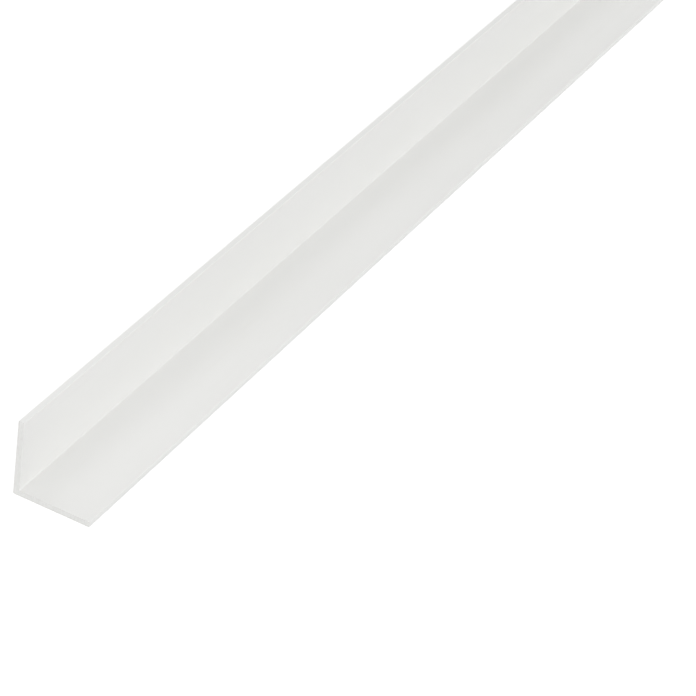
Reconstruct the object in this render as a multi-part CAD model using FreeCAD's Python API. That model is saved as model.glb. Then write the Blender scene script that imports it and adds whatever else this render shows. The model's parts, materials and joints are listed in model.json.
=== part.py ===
"""Corner guard moulding: a white vinyl angle with equal legs, extruded in one piece and sawn square at both ends.

It stands as it would on a floor, with one leg flat and the other upright behind it. +X runs along the length,
+Y towards the upright leg and +Z up. The origin is the middle of the flat leg's underside. Sizes are in millimetres.
"""

import FreeCAD
import Part
import math
import os

# The stock, as it is sold
LENGTH = 1000.0
FLAT_LEG = 20.0
UPRIGHT_LEG = 20.0
WALL = 1.5

# Roundings that the die leaves on the section
HEEL_RADIUS = 0.4
ROOT_RADIUS = 0.35
EDGE_RADIUS = 0.1


def section_corners():
    """The section's six corners as (y, z, radius), going round from the toe of the flat leg by way of the heel."""
    toe = -FLAT_LEG / 2
    heel = FLAT_LEG / 2
    # A leg's free edge keeps at least a third of the wall flat between its two roundings
    edge_radius = min(EDGE_RADIUS, WALL / 3)
    return [
        (toe, 0.0, edge_radius),
        (heel, 0.0, HEEL_RADIUS),
        (heel, UPRIGHT_LEG, edge_radius),
        (heel - WALL, UPRIGHT_LEG, edge_radius),
        (heel - WALL, WALL, ROOT_RADIUS),
        (toe, WALL, edge_radius),
    ]


def rounded_corner(before, corner, after, radius):
    """The arc that rounds a corner between two neighbours, as its start, middle and end."""
    back = (before - corner).normalize()
    ahead = (after - corner).normalize()
    half_angle = back.getAngle(ahead) / 2
    setback = radius / math.tan(half_angle)
    bisector = (back + ahead).normalize()
    middle_distance = radius / math.sin(half_angle) - radius
    return corner + back * setback, corner + bisector * middle_distance, corner + ahead * setback


def section_face(x):
    """The angle's section at a place along its length, as one flat face."""
    corners = section_corners()
    points = [FreeCAD.Vector(x, y, z) for y, z, _ in corners]
    arcs = []
    for i, (_, _, radius) in enumerate(corners):
        following = points[(i + 1) % len(points)]
        arcs.append(rounded_corner(points[i - 1], points[i], following, radius))
    edges = []
    for i, (start, middle, end) in enumerate(arcs):
        next_start = arcs[(i + 1) % len(arcs)][0]
        edges.append(Part.Arc(start, middle, end).toShape())
        edges.append(Part.LineSegment(end, next_start).toShape())
    return Part.Face(Part.Wire(edges))


def corner_guard():
    """The whole moulding, centred on the origin along its length."""
    return section_face(-LENGTH / 2).extrude(FreeCAD.Vector(LENGTH, 0, 0))


def main():
    """Writes the moulding's one piece."""
    os.makedirs("parts", exist_ok=True)
    moulding = corner_guard()
    moulding.exportStep("parts/corner_guard.step")
    box = moulding.BoundBox
    print("corner_guard", moulding.isValid(), round(moulding.Volume, 1), "mm3", box)


main()
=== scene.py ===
"""Looks and scene of the corner guard moulding: a white vinyl angle, extruded in one piece and sawn square.

Lengths are in metres, and angles are written in degrees. As in the CAD frame, +X runs along the moulding,
+Y towards its upright leg and +Z up.
"""

import json
import logging
import math
from dataclasses import dataclass, field
from enum import Enum

import bpy
from mathutils import Matrix, Vector

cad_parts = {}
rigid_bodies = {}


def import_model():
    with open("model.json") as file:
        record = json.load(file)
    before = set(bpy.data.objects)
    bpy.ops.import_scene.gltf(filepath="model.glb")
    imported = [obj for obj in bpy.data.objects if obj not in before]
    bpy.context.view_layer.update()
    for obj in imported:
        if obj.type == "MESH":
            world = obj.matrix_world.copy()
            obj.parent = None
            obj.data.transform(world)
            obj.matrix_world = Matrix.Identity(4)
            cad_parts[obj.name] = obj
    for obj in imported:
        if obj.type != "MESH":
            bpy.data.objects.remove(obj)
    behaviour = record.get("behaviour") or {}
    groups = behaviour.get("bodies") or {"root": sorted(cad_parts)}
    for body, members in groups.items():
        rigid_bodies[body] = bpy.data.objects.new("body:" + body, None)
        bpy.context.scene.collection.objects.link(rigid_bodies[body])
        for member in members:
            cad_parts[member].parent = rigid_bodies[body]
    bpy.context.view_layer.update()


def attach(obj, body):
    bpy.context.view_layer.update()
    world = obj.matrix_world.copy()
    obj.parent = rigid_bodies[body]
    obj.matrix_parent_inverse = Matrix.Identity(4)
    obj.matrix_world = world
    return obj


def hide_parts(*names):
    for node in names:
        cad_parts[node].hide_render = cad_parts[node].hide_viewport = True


LOG = logging.getLogger("corner_guard_scene")

MM = 0.001
BODY = "root"
NODE = "corner_guard"

Colour = tuple[float, float, float]
Place = tuple[float, float, float]
Range = tuple[float, float]
Inputs = dict[str | int, object]
Socket = bpy.types.NodeSocket

WHITE: Colour = (1.0, 1.0, 1.0)
UNIT: Range = (0.0, 1.0)
VINYL_IOR = 1.53


def opaque(colour: Colour) -> tuple[float, float, float, float]:
    """The colour with full alpha, as a colour socket takes it."""
    return (*colour, 1.0)


class RecordSlot(Enum):
    """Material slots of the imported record."""

    WHITE_VINYL = "white_vinyl"


class Ray(Enum):
    """Rays that see the backdrop's own white instead of the light that falls on it."""

    CAMERA = "Is Camera Ray"
    GLOSSY = "Is Glossy Ray"
    TRANSMISSION = "Is Transmission Ray"


@dataclass(frozen=True)
class Mottle:
    """A noise pattern, by its cells per metre along x, y and z."""

    cells: tuple[float, float, float]
    octaves: float = 2.0
    fineness: float = 0.5


@dataclass(frozen=True)
class Relief:
    """A bump that a pattern leaves: the share of it that is used, and its full depth."""

    strength: float
    depth: float


class NodeTree:
    """A thin wrapper that adds nodes to a tree and links them in one call."""

    # Places of the sockets of a Mix node for colours, because their names repeat for each data type
    MIX_FACTOR = 0
    MIX_FIRST = 6
    MIX_SECOND = 7
    MIX_RESULT = 2

    def __init__(self, tree: bpy.types.NodeTree) -> None:
        """Wraps a node tree.

        Args:
            tree: The geometry or shader tree that the nodes go into.
        """
        self.tree = tree

    def add(self, kind: str, inputs: Inputs | None = None, **settings: object) -> bpy.types.Node:
        """Adds a node, sets it up and fills its inputs.

        Args:
            kind: Blender's identifier of the node type.
            inputs: Input name or place to a socket, which is linked, or to a value, which is set.
            **settings: Properties of the node itself.

        Returns:
            The new node.
        """
        node = self.tree.nodes.new(kind)
        for name, value in settings.items():
            setattr(node, name, value)
        for key, value in (inputs or {}).items():
            self.feed(node.inputs[key], value)
        return node

    def feed(self, socket: Socket, value: object) -> None:
        """Links a socket to an input, or sets the input's value.

        Args:
            socket: The input to fill.
            value: An output socket, or a plain value.
        """
        if isinstance(value, Socket):
            self.tree.links.new(value, socket)
        else:
            socket.default_value = value

    def math(self, operation: str, *values: object) -> Socket:
        """Adds a math node.

        Args:
            operation: Its operation.
            *values: Its inputs in order.

        Returns:
            Its output socket.
        """
        node = self.add("ShaderNodeMath", dict(enumerate(values)), operation=operation)
        return node.outputs[0]

    def vector_math(self, operation: str, *values: object, output: str = "Vector") -> Socket:
        """Adds a vector math node.

        Args:
            operation: Its operation.
            *values: Its inputs in order.
            output: The name of the output that is wanted.

        Returns:
            That output socket.
        """
        node = self.add("ShaderNodeVectorMath", dict(enumerate(values)), operation=operation)
        return node.outputs[output]

    def scaled(self, vector: Socket, factor: Socket) -> Socket:
        """The vector times a factor."""
        return self.add("ShaderNodeVectorMath", {0: vector, "Scale": factor}, operation="SCALE").outputs[0]

    def mottled(self, place: Socket, pattern: Mottle) -> Socket:
        """Adds noise over a place.

        Args:
            place: The place that it depends on.
            pattern: How fine and how rough it is.

        Returns:
            The noise value's socket.
        """
        spread = self.vector_math("MULTIPLY", place, pattern.cells)
        inputs = {"Vector": spread, "Scale": 1.0, "Detail": pattern.octaves, "Roughness": pattern.fineness}
        return self.add("ShaderNodeTexNoise", inputs).outputs["Fac"]

    def remap(self, value: Socket, known: Range, wanted: Range) -> Socket:
        """Maps a value from one range to another and clamps it.

        Args:
            value: The value to map.
            known: Start and end of its own range.
            wanted: What the start and the end become.

        Returns:
            The mapped value's socket.
        """
        ends = {"From Min": known[0], "From Max": known[1], "To Min": wanted[0], "To Max": wanted[1]}
        return self.add("ShaderNodeMapRange", {"Value": value, **ends}).outputs["Result"]

    def blend(self, factor: Socket, first: Colour | Socket, second: Colour | Socket) -> Socket:
        """Mixes two colours.

        Args:
            factor: Share of the second colour.
            first: The first colour.
            second: The second colour.

        Returns:
            The mixed colour's socket.
        """
        node = self.add("ShaderNodeMix", {self.MIX_FACTOR: factor}, data_type="RGBA")
        for place, colour in ((self.MIX_FIRST, first), (self.MIX_SECOND, second)):
            self.feed(node.inputs[place], opaque(colour) if isinstance(colour, tuple) else colour)
        return node.outputs[self.MIX_RESULT]


class ShaderTree(NodeTree):
    """A material's node tree, with the parts that every finish here uses."""

    def __init__(self, material: bpy.types.Material) -> None:
        """Empties a material's tree and adds its output.

        Args:
            material: The material to build.
        """
        material.use_nodes = True
        super().__init__(material.node_tree)
        self.tree.nodes.clear()
        self.output = self.tree.nodes.new("ShaderNodeOutputMaterial")

    def noise(self, pattern: Mottle) -> Socket:
        """Noise over the object's own coordinates."""
        return self.mottled(self.add("ShaderNodeTexCoord").outputs["Object"], pattern)

    def bump(self, height: Socket, relief: Relief, below: Socket | None = None) -> Socket:
        """Adds a bump, over an earlier one if there is one.

        Args:
            height: The height, from 0 to 1.
            relief: How deep it is.
            below: The normal of the earlier bump.

        Returns:
            The bumped normal's socket.
        """
        inputs = {"Height": height, "Strength": relief.strength, "Distance": relief.depth}
        if below is not None:
            inputs["Normal"] = below
        return self.add("ShaderNodeBump", inputs).outputs["Normal"]

    def plastic(self, colour: Socket, roughness: Socket, ior: float, normal: Socket) -> None:
        """Adds an opaque plastic and shows it on the material's surface.

        Args:
            colour: Its base colour.
            roughness: Its roughness.
            ior: Its index of refraction.
            normal: Its bumped normal.
        """
        inputs = {"Base Color": colour, "Roughness": roughness, "IOR": ior, "Normal": normal}
        self.finish(self.add("ShaderNodeBsdfPrincipled", inputs).outputs["BSDF"])

    def finish(self, shader: Socket) -> None:
        """Links a shader to the material's surface."""
        self.feed(self.output.inputs["Surface"], shader)


@dataclass(frozen=True)
class ExtrudedVinyl:
    """Skin that the die leaves on rigid white vinyl: satin, with faint die lines and light rubs."""

    name: str = "extruded_white_vinyl"
    light: Colour = (0.88, 0.88, 0.866)
    deep: Colour = (0.862, 0.862, 0.845)
    scuffed: Colour = (0.83, 0.825, 0.80)
    roughness: float = 0.40
    ior: float = VINYL_IOR
    cloud: Mottle = Mottle((9.0, 60.0, 60.0))
    cloud_edge: Range = (0.3, 0.7)
    die_lines: Mottle = Mottle((1.5, 1600.0, 1600.0), octaves=4.0, fineness=0.6)
    line_edge: Range = (0.25, 0.75)
    line_relief: Relief = Relief(0.35, 0.012 * MM)
    line_dulling: float = 0.05
    grain: Mottle = Mottle((2600.0, 2600.0, 2600.0))
    grain_relief: Relief = Relief(0.25, 0.01 * MM)
    rubs: Mottle = Mottle((22.0, 260.0, 260.0), octaves=5.0, fineness=0.65)
    rub_edge: Range = (0.60, 0.76)
    rub_cover: float = 0.35
    rub_dulling: float = 0.3

    def build(self) -> bpy.types.Material:
        """Builds the material.

        Returns:
            The material.
        """
        material = bpy.data.materials.new(self.name)
        tree = ShaderTree(material)
        lines = tree.noise(self.die_lines)
        rubbed = tree.remap(tree.noise(self.rubs), self.rub_edge, (0.0, self.rub_cover))
        clouded = tree.remap(tree.noise(self.cloud), self.cloud_edge, UNIT)
        colour = tree.blend(rubbed, tree.blend(clouded, self.light, self.deep), self.scuffed)
        dulled = (self.roughness - self.line_dulling, self.roughness + self.line_dulling)
        lined = tree.remap(lines, self.line_edge, dulled)
        roughness = tree.math("ADD", lined, tree.math("MULTIPLY", rubbed, self.rub_dulling))
        normal = tree.bump(tree.noise(self.grain), self.grain_relief, tree.bump(lines, self.line_relief))
        tree.plastic(colour, roughness, self.ior, normal)
        return material


@dataclass(frozen=True)
class SawnVinyl:
    """Face that a saw leaves on rigid white vinyl: matt, torn a little along the tooth marks."""

    name: str = "sawn_white_vinyl"
    light: Colour = (0.848, 0.848, 0.83)
    torn: Colour = (0.775, 0.772, 0.75)
    ior: float = VINYL_IOR
    tears: Mottle = Mottle((800.0, 2400.0, 600.0), octaves=4.0, fineness=0.65)
    tear_edge: Range = (0.45, 0.75)
    tear_relief: Relief = Relief(0.5, 0.03 * MM)
    grain: Mottle = Mottle((5200.0, 5200.0, 5200.0))
    grain_edge: Range = (0.3, 0.7)
    grain_relief: Relief = Relief(0.4, 0.02 * MM)
    roughness: Range = (0.56, 0.70)

    def build(self) -> bpy.types.Material:
        """Builds the material.

        Returns:
            The material.
        """
        material = bpy.data.materials.new(self.name)
        tree = ShaderTree(material)
        tears = tree.noise(self.tears)
        grain = tree.noise(self.grain)
        colour = tree.blend(tree.remap(tears, self.tear_edge, UNIT), self.light, self.torn)
        roughness = tree.remap(grain, self.grain_edge, self.roughness)
        normal = tree.bump(grain, self.grain_relief, tree.bump(tears, self.tear_relief))
        tree.plastic(colour, roughness, self.ior, normal)
        return material


@dataclass(frozen=True)
class Section:
    """The angle's section. The four edges of its legs have one radius."""

    flat_leg: float = 20.0 * MM
    upright_leg: float = 20.0 * MM
    wall: float = 1.5 * MM
    heel_radius: float = 0.4 * MM
    root_radius: float = 0.35 * MM
    edge_radius: float = 0.1 * MM


@dataclass(frozen=True)
class SawCut:
    """The marks of the blade that cuts the stock to length.

    Slant is the offset of the blade's centre across the moulding, as a share of the blade's radius.
    """

    depth: float = 0.025 * MM
    pitch: float = 0.55 * MM
    blade_radius: float = 127.0 * MM
    slant: float = 0.9


class AngleTree(NodeTree):
    """The geometry tree that draws the section along the length and saws it off square at both ends."""

    # Divisions of the section and of the length
    ARC_STEPS = 6
    RUN_LOOPS = 11
    SLICES = 260
    # A side of the outline longer than this share of the wall is a straight run, not a step of an arc
    RUN_SHARE = 0.25
    # How far the extrusion reaches past each saw cut
    END_ALLOWANCE = 3.0 * MM
    RIPPLE = Mottle((26.0, 90.0, 90.0))
    # The noise value at which the ripple leaves a face where it is
    RIPPLE_MIDDLE = 0.5
    # The block between the saw cuts: how much larger than the section it is, and the divisions of its ends
    BLADE_MARGIN = 2.0 * MM
    BLADE_COLUMNS = 260
    BLADE_ROWS = 60
    TOOTH_OCTAVES = 3.0
    # A face whose normal has at least this share along the length belongs to a sawn end
    END_FACING = 0.8
    SMOOTH_ANGLE = math.radians(32.0)

    def __init__(self, values: dict[str, object]) -> None:
        """Makes the empty tree, with one named input for each value, and its output.

        Args:
            values: Name of the input to the value that it is made for.
        """
        super().__init__(bpy.data.node_groups.new("sawn_angle", "GeometryNodeTree"))
        interface = self.tree.interface
        self.ids: dict[str, str] = {}
        for name, value in values.items():
            kind = "NodeSocketFloat" if isinstance(value, float) else "NodeSocketMaterial"
            self.ids[name] = interface.new_socket(name=name, in_out="INPUT", socket_type=kind).identifier
        interface.new_socket(name="Geometry", in_out="OUTPUT", socket_type="NodeSocketGeometry")
        self.given = self.add("NodeGroupInput").outputs

    def xyz(self, x: object, y: object, z: object) -> Socket:
        """Combines three values into a vector.

        Args:
            x: The first component.
            y: The second component.
            z: The third component.

        Returns:
            The vector's socket.
        """
        return self.add("ShaderNodeCombineXYZ", {"X": x, "Y": y, "Z": z}).outputs[0]

    def parts_of(self, vector: Socket) -> bpy.types.NodeOutputs:
        """Splits a vector into its components."""
        return self.add("ShaderNodeSeparateXYZ", {"Vector": vector}).outputs

    def moved(self, geometry: Socket, offset: Socket) -> Socket:
        """The geometry with its points moved by an offset."""
        return self.add("GeometryNodeSetPosition", {"Geometry": geometry, "Offset": offset}).outputs[0]

    def placed(self, geometry: Socket, place: Socket) -> Socket:
        """The geometry with its points put at a place."""
        return self.add("GeometryNodeSetPosition", {"Geometry": geometry, "Position": place}).outputs[0]

    def pick(self, kind: str, index: Socket, choices: list[Socket]) -> Socket:
        """Chooses a value by index.

        Args:
            kind: Data type of the values.
            index: The index.
            choices: One socket for each index.

        Returns:
            The chosen value's socket.
        """
        node = self.add("GeometryNodeIndexSwitch", data_type=kind)
        while len(node.index_switch_items) < len(choices):
            node.index_switch_items.new()
        self.feed(node.inputs["Index"], index)
        for place, choice in enumerate(choices):
            self.feed(node.inputs[place + 1], choice)
        return node.outputs[0]

    def keep(self, geometry: Socket, **fields: tuple[str, Socket]) -> tuple[Socket, ...]:
        """Keeps field values on a geometry's points, for use after later nodes have changed it.

        Args:
            geometry: The geometry.
            **fields: Name to data type and field.

        Returns:
            The geometry's socket, followed by one socket for each kept field.
        """
        node = self.add("GeometryNodeCaptureAttribute")
        for name, (kind, _) in fields.items():
            node.capture_items.new(kind, name)
        self.feed(node.inputs["Geometry"], geometry)
        for place, (_, value) in enumerate(fields.values()):
            self.feed(node.inputs[place + 1], value)
        return tuple(node.outputs[place] for place in range(len(fields) + 1))

    def outline(self) -> Socket:
        """The section's six corners, joined into a closed curve and rounded.

        Returns:
            The curve's socket.
        """
        given = self.given
        wall = given["Wall"]
        top = given["Upright Leg"]
        toe = self.math("MULTIPLY", given["Flat Leg"], -0.5)
        heel = self.math("MULTIPLY", given["Flat Leg"], 0.5)
        inner = self.math("SUBTRACT", heel, wall)
        corners = [
            self.xyz(toe, 0.0, 0.0),
            self.xyz(heel, 0.0, 0.0),
            self.xyz(heel, top, 0.0),
            self.xyz(inner, top, 0.0),
            self.xyz(inner, wall, 0.0),
            self.xyz(toe, wall, 0.0),
        ]
        edge = given["Edge Radius"]
        radii = [edge, given["Heel Radius"], edge, edge, given["Root Radius"], edge]
        index = self.add("GeometryNodeInputIndex").outputs[0]
        line = self.add("GeometryNodeMeshLine", {"Count": len(corners)}).outputs[0]
        line = self.placed(line, self.pick("VECTOR", index, corners))
        curve = self.add("GeometryNodeMeshToCurve", {"Mesh": line}).outputs[0]
        curve = self.add("GeometryNodeSetSplineCyclic", {"Geometry": curve, "Cyclic": True}).outputs[0]
        rounding = {"Curve": curve, "Count": self.ARC_STEPS, "Radius": self.pick("FLOAT", index, radii)}
        return self.add("GeometryNodeFilletCurve", rounding, mode="POLY").outputs[0]

    def neighbour(self, step: int) -> Socket:
        """The place of another point of the same curve.

        Args:
            step: How many points further round it lies.

        Returns:
            The place's socket.
        """
        index = self.add("GeometryNodeInputIndex").outputs[0]
        there = self.add("GeometryNodeOffsetPointInCurve", {"Point Index": index, "Offset": step})
        place = self.add("GeometryNodeInputPosition").outputs[0]
        node = self.add("GeometryNodeFieldAtIndex", data_type="FLOAT_VECTOR")
        self.feed(node.inputs["Index"], there.outputs["Point Index"])
        self.feed(node.inputs["Value"], place)
        return node.outputs[0]

    def section(self) -> Socket:
        """The rounded outline, its straight runs divided, with the divisions crowded towards the roundings.

        Returns:
            The curve's socket.
        """
        outline = self.outline()
        place = self.add("GeometryNodeInputPosition").outputs[0]
        ahead = self.vector_math("SUBTRACT", self.neighbour(1), place)
        behind = self.vector_math("SUBTRACT", place, self.neighbour(-1))
        ahead_length = self.vector_math("LENGTH", ahead, output="Value")
        behind_length = self.vector_math("LENGTH", behind, output="Value")
        ends_run = self.math("GREATER_THAN", behind_length, ahead_length)
        starts_run = self.math("SUBTRACT", 1.0, ends_run)
        run = self.vector_math("ADD", self.scaled(behind, ends_run), self.scaled(ahead, starts_run))
        outline, share, run = self.keep(outline, share=("FLOAT", ends_run), run=("VECTOR", run))
        shortest_run = self.math("MULTIPLY", self.given["Wall"], self.RUN_SHARE)
        straight = self.math("GREATER_THAN", ahead_length, shortest_run)
        cuts = self.math("MULTIPLY", straight, float(self.RUN_LOOPS))
        divided = self.add("GeometryNodeSubdivideCurve", {"Curve": outline, "Cuts": cuts}).outputs[0]
        turn = self.math("COSINE", self.math("MULTIPLY", share, math.pi))
        crowded = self.math("MULTIPLY", self.math("SUBTRACT", 1.0, turn), 0.5)
        shift = self.scaled(run, self.math("SUBTRACT", crowded, share))
        return self.moved(divided, shift)

    def extrusion(self) -> Socket:
        """The section drawn out past both ends, with the faint ripple that haul-off leaves on its faces.

        Returns:
            The mesh's socket.
        """
        place = self.add("GeometryNodeInputPosition").outputs[0]
        section, outline = self.keep(self.section(), outline=("VECTOR", place))
        half = self.math("ADD", self.math("MULTIPLY", self.given["Length"], 0.5), self.END_ALLOWANCE)
        low = self.xyz(self.math("MULTIPLY", half, -1.0), 0.0, 0.0)
        ends = {"Start": low, "End": self.xyz(half, 0.0, 0.0)}
        path = self.add("GeometryNodeCurvePrimitiveLine", ends, mode="POINTS").outputs[0]
        slices = {"Curve": path, "Count": self.SLICES}
        path = self.add("GeometryNodeResampleCurve", slices, mode="COUNT").outputs[0]
        path, along = self.keep(path, along=("FLOAT", self.parts_of(place)["X"]))
        drawing = {"Curve": path, "Profile Curve": section, "Fill Caps": True}
        drawn = self.add("GeometryNodeCurveToMesh", drawing).outputs[0]
        across = self.parts_of(outline)
        place = self.xyz(along, across["X"], across["Y"])
        ripple = self.math("SUBTRACT", self.mottled(place, self.RIPPLE), self.RIPPLE_MIDDLE)
        depth = self.math("MULTIPLY", ripple, self.given["Ripple Depth"])
        normal = self.add("GeometryNodeInputNormal").outputs["Normal"]
        return self.moved(self.placed(drawn, place), self.scaled(normal, depth))

    def blades(self) -> Socket:
        """A block between the two saw cuts, whose end faces carry the tooth marks of the blade.

        Returns:
            The mesh's socket.
        """
        given = self.given
        width = self.math("ADD", given["Flat Leg"], self.BLADE_MARGIN)
        height = self.math("ADD", given["Upright Leg"], self.BLADE_MARGIN)
        size = self.xyz(given["Length"], width, height)
        counts = {"Vertices X": 2, "Vertices Y": self.BLADE_COLUMNS, "Vertices Z": self.BLADE_ROWS}
        block = self.add("GeometryNodeMeshCube", {"Size": size, **counts}).outputs["Mesh"]
        block = self.moved(block, self.xyz(0.0, 0.0, self.math("MULTIPLY", given["Upright Leg"], 0.5)))
        place = self.add("GeometryNodeInputPosition").outputs[0]
        parts = self.parts_of(place)
        centre_y = self.math("MULTIPLY", given["Blade Radius"], given["Blade Slant"])
        centre = self.xyz(0.0, centre_y, given["Blade Radius"])
        flat = self.xyz(0.0, parts["Y"], parts["Z"])
        radius = self.vector_math("DISTANCE", flat, centre, output="Value")
        marks = self.math("DIVIDE", radius, given["Mark Pitch"])
        teeth = {"W": marks, "Scale": 1.0, "Detail": self.TOOTH_OCTAVES}
        uneven = self.add("ShaderNodeTexNoise", teeth, noise_dimensions="1D").outputs["Fac"]
        depth = self.math("MULTIPLY", uneven, given["Mark Depth"])
        inward = self.math("MULTIPLY", self.math("SIGN", parts["X"]), self.math("MULTIPLY", depth, -1.0))
        return self.moved(block, self.xyz(inward, 0.0, 0.0))

    def build(self) -> bpy.types.GeometryNodeTree:
        """Joins the stages, sets the materials and ends the tree.

        Returns:
            The finished tree.
        """
        node = self.add("GeometryNodeMeshBoolean", operation="INTERSECT", solver="MANIFOLD")
        # Sawing a bent quad can leave tiny faces that lie on each other, so triangles go in
        for solid in (self.extrusion(), self.blades()):
            triangles = self.add("GeometryNodeTriangulate", {"Mesh": solid}).outputs["Mesh"]
            self.feed(node.inputs["Mesh 2"], triangles)
        sawn = node.outputs["Mesh"]
        angle = self.add("GeometryNodeInputMeshEdgeAngle").outputs["Unsigned Angle"]
        rounded = self.math("LESS_THAN", angle, self.SMOOTH_ANGLE)
        for domain, smooth in (("FACE", True), ("EDGE", rounded)):
            shading = {"Geometry": sawn, "Shade Smooth": smooth}
            sawn = self.add("GeometryNodeSetShadeSmooth", shading, domain=domain).outputs[0]
        sawn = self.add("GeometryNodeRealizeInstances", {"Geometry": sawn}).outputs[0]
        skin = {"Geometry": sawn, "Material": self.given["Vinyl"]}
        dressed = self.add("GeometryNodeSetMaterial", skin).outputs[0]
        facing = self.parts_of(self.add("GeometryNodeInputNormal").outputs["True Normal"])["X"]
        endwise = self.math("GREATER_THAN", self.math("ABSOLUTE", facing), self.END_FACING)
        ends = {"Geometry": dressed, "Selection": endwise, "Material": self.given["Sawn Vinyl"]}
        dressed = self.add("GeometryNodeSetMaterial", ends).outputs[0]
        self.add("NodeGroupOutput", {0: dressed})
        return self.tree


@dataclass
class CornerGuard:
    """The moulding: one length of angle, sawn square at both ends."""

    length: float = 1000.0 * MM
    section: Section = field(default_factory=Section)
    cut: SawCut = field(default_factory=SawCut)
    ripple_depth: float = 0.03 * MM
    vinyl: ExtrudedVinyl = field(default_factory=ExtrudedVinyl)
    sawn: SawnVinyl = field(default_factory=SawnVinyl)

    def values(self) -> dict[str, object]:
        """The geometry tree's inputs by name.

        Returns:
            Name of the input to its value.
        """
        return {
            "Length": self.length,
            "Flat Leg": self.section.flat_leg,
            "Upright Leg": self.section.upright_leg,
            "Wall": self.section.wall,
            "Heel Radius": self.section.heel_radius,
            "Root Radius": self.section.root_radius,
            "Edge Radius": self.section.edge_radius,
            "Ripple Depth": self.ripple_depth,
            "Mark Depth": self.cut.depth,
            "Mark Pitch": self.cut.pitch,
            "Blade Radius": self.cut.blade_radius,
            "Blade Slant": self.cut.slant,
            "Vinyl": self.vinyl.build(),
            "Sawn Vinyl": self.sawn.build(),
        }

    def mesh(self) -> bpy.types.Mesh:
        """Runs the geometry tree and turns its result into a plain mesh.

        Returns:
            The moulding's mesh.
        """
        values = self.values()
        maker = AngleTree(values)
        carrier = bpy.data.objects.new("angle_carrier", bpy.data.meshes.new("angle_carrier"))
        bpy.context.scene.collection.objects.link(carrier)
        modifier = carrier.modifiers.new("sawn_angle", "NODES")
        modifier.node_group = maker.build()
        for name, value in values.items():
            modifier[maker.ids[name]] = value
        graph = bpy.context.evaluated_depsgraph_get()
        made = bpy.data.meshes.new_from_object(carrier.evaluated_get(graph), depsgraph=graph)
        carrier.modifiers.remove(modifier)
        bpy.data.objects.remove(carrier)
        return made

    def build(self) -> list[bpy.types.Object]:
        """Builds the moulding and puts it on its body.

        Returns:
            The pieces that were made.
        """
        piece = bpy.data.objects.new("corner_guard_moulding", self.mesh())
        bpy.context.scene.collection.objects.link(piece)
        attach(piece, BODY)
        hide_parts(NODE)
        return [piece]


@dataclass(frozen=True)
class PaleFloor:
    """Finish of the floor: pale paper that takes the lamps' light and the moulding's shadow.

    Only the camera, reflections and glass see its glow, which lifts the lit paper to white.
    """

    name: str = "pale_floor_paper"
    colour: Colour = (0.68, 0.68, 0.68)
    roughness: float = 0.5
    glow: float = 0.57

    def build(self) -> bpy.types.Material:
        """Builds the material.

        Returns:
            The material.
        """
        material = bpy.data.materials.new(self.name)
        tree = ShaderTree(material)
        matt = {"Color": opaque(self.colour), "Roughness": self.roughness}
        paper = tree.add("ShaderNodeBsdfDiffuse", matt).outputs[0]
        glow = tree.math("MULTIPLY", seen_directly(tree), self.glow)
        light = tree.add("ShaderNodeEmission", {"Strength": glow}).outputs[0]
        tree.finish(tree.add("ShaderNodeAddShader", {0: paper, 1: light}).outputs[0])
        return material


def seen_directly(tree: NodeTree) -> Socket:
    """One where the camera, a reflection or glass looks, and zero for the light that falls on surfaces.

    Args:
        tree: The shader tree to add to.

    Returns:
        The mask's socket.
    """
    path = tree.add("ShaderNodeLightPath")
    mask = path.outputs[Ray.CAMERA.value]
    for ray in (Ray.GLOSSY, Ray.TRANSMISSION):
        mask = tree.math("MAXIMUM", mask, path.outputs[ray.value])
    return mask


@dataclass
class Floor:
    """The floor that the moulding lies on."""

    half_width: float = 60.0
    drop: float = 0.02 * MM
    finish: PaleFloor = field(default_factory=PaleFloor)

    def build(self) -> bpy.types.Object:
        """Builds the floor.

        Returns:
            The floor.
        """
        half = self.half_width
        corners = [(x * half, y * half, -self.drop) for x, y in ((-1, -1), (1, -1), (1, 1), (-1, 1))]
        mesh = bpy.data.meshes.new("floor")
        mesh.from_pydata(corners, [], [(0, 1, 2, 3)])
        mesh.materials.append(self.finish.build())
        floor = bpy.data.objects.new("floor", mesh)
        bpy.context.scene.collection.objects.link(floor)
        return floor


def direction(azimuth: float, elevation: float) -> Vector:
    """The unit vector from the moulding towards a lamp or the camera.

    Args:
        azimuth: Angle about +Z. A lamp at 0 shines along +Y, and one at 90 along -X.
        elevation: Angle above the floor.

    Returns:
        The vector.
    """
    turn, rise = math.radians(azimuth), math.radians(elevation)
    level = Vector((math.sin(turn), -math.cos(turn), 0.0)) * math.cos(rise)
    return level + Vector((0.0, 0.0, math.sin(rise)))


def aimed(lamp: bpy.types.Object, towards: Vector) -> bpy.types.Object:
    """Turns a lamp to shine from a direction and puts it in the scene.

    Args:
        lamp: The lamp.
        towards: From what it lights, towards the lamp.

    Returns:
        The lamp.
    """
    lamp.rotation_mode = "QUATERNION"
    lamp.rotation_quaternion = towards.to_track_quat("Z", "Y")
    bpy.context.scene.collection.objects.link(lamp)
    return lamp


@dataclass(frozen=True)
class FarSoftbox:
    """A large, far softbox, as a sun lamp with a wide disc.

    Level is the share of a colour's own brightness that the lamp gives to a surface that faces it.
    Spread is the angle that the disc fills.
    """

    name: str
    azimuth: float
    elevation: float
    level: float
    spread: float = 40.0

    def build(self) -> bpy.types.Object:
        """Builds the lamp.

        Returns:
            The lamp.
        """
        data = bpy.data.lights.new(self.name, "SUN")
        data.energy = self.level * math.pi
        data.angle = math.radians(self.spread)
        return aimed(bpy.data.objects.new(self.name, data), direction(self.azimuth, self.elevation))


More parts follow.
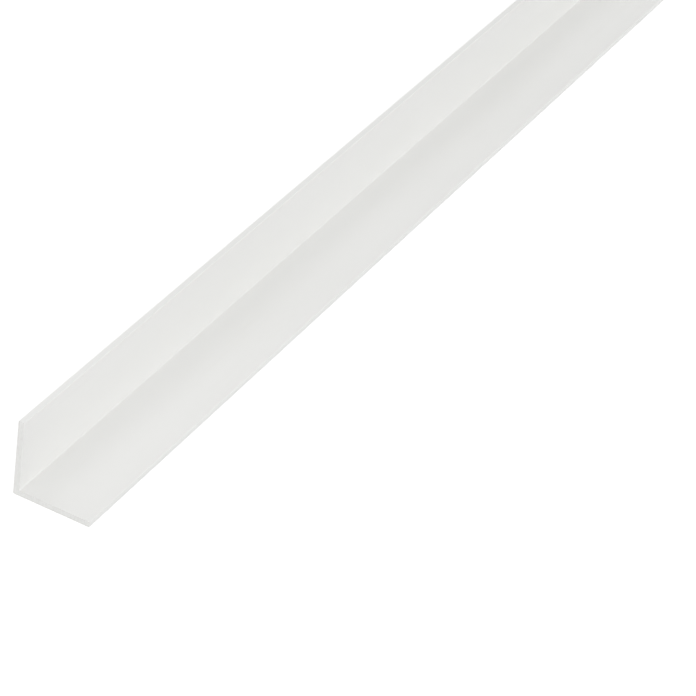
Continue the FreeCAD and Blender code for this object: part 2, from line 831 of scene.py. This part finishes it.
@dataclass(frozen=True)
class NearSoftbox:
    """A softbox beside the near end, whose light falls off along the moulding."""

    name: str
    place: Place
    target: Place
    watts: float
    width: float = 0.4

    def build(self) -> bpy.types.Object:
        """Builds the lamp.

        Returns:
            The lamp.
        """
        data = bpy.data.lights.new(self.name, "AREA")
        data.shape = "SQUARE"
        data.size = self.width
        data.energy = self.watts
        lamp = bpy.data.objects.new(self.name, data)
        lamp.location = self.place
        lamp.visible_camera = False
        return aimed(lamp, Vector(self.place) - Vector(self.target))


@dataclass
class Studio:
    """The light: an even room, and soft lamps round the moulding.

    The room lights the moulding at one level, and the camera and reflections see it at another.
    """

    room_level: float = 0.601
    seen_level: float = 1.0
    lamps: tuple[FarSoftbox | NearSoftbox, ...] = (
        FarSoftbox("camera_side_softbox", azimuth=-40.0, elevation=20.0, level=0.376),
        FarSoftbox("overhead_softbox", azimuth=150.0, elevation=65.0, level=0.073, spread=25.0),
        FarSoftbox("back_softbox", azimuth=150.0, elevation=2.0, level=0.26, spread=8.0),
        NearSoftbox("near_end_softbox", place=(-0.75, 0.05, 0.35), target=(-0.5, 0.0, 0.0), watts=0.308),
    )

    def build_room(self) -> None:
        """Sets the even light of the room, which the camera and reflections see as white."""
        world = bpy.data.worlds.new("white_room")
        world.use_nodes = True
        bpy.context.scene.world = world
        tree = NodeTree(world.node_tree)
        tree.tree.nodes.clear()
        strength = tree.remap(seen_directly(tree), UNIT, (self.room_level, self.seen_level))
        light = tree.add("ShaderNodeBackground", {"Color": opaque(WHITE), "Strength": strength})
        tree.add("ShaderNodeOutputWorld", {"Surface": light.outputs[0]})

    def build(self) -> list[bpy.types.Object]:
        """Builds the room's light and the lamps.

        Returns:
            The lamps.
        """
        self.build_room()
        return [lamp.build() for lamp in self.lamps]


@dataclass(frozen=True)
class PhotographCamera:
    """The photograph's viewpoint, fitted to the moulding's edges and its cut end.

    The camera looks at a point on the floor. Roll turns it anticlockwise about its own axis.
    """

    aim: Place = (-403.12 * MM, -22.08 * MM, 0.0)
    azimuth: float = -66.0129
    elevation: float = 34.4385
    roll: float = 8.4064
    distance: float = 779.63 * MM
    lens_mm: float = 167.61
    sensor_mm: float = 36.0
    near: float = 0.02
    far: float = 200.0

    def build(self) -> bpy.types.Object:
        """Builds the camera and makes it the scene's.

        Returns:
            The camera.
        """
        data = bpy.data.cameras.new("photograph_camera")
        data.lens = self.lens_mm
        data.sensor_width = self.sensor_mm
        data.clip_start = self.near
        data.clip_end = self.far
        camera = bpy.data.objects.new("photograph_camera", data)
        back = direction(self.azimuth, self.elevation)
        level = back.to_track_quat("Z", "Y").to_matrix()
        rolled = Matrix.Rotation(math.radians(self.roll), 3, back) @ level
        place = Vector(self.aim) + back * self.distance
        camera.matrix_world = Matrix.Translation(place) @ rolled.to_4x4()
        bpy.context.scene.collection.objects.link(camera)
        bpy.context.scene.camera = camera
        return camera


def main() -> None:
    """Builds the moulding, the floor, the light and the camera."""
    logging.basicConfig(level=logging.INFO, format="%(name)s: %(message)s")
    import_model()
    for piece in CornerGuard().build():
        mesh = piece.data
        LOG.info("%s: %d faces, %d materials", piece.name, len(mesh.polygons), len(mesh.materials))
    floor = Floor().build()
    LOG.info("%s: finish %s", floor.name, floor.data.materials[0].name)
    for lamp in Studio().build():
        LOG.info("%s: %s lamp, energy %.2f", lamp.name, lamp.data.type.lower(), lamp.data.energy)
    camera = PhotographCamera().build()
    LOG.info("%s: lens %.1f mm", camera.name, camera.data.lens)
    bpy.context.scene.view_settings.view_transform = "Standard"


if __name__ == "__main__":
    main()
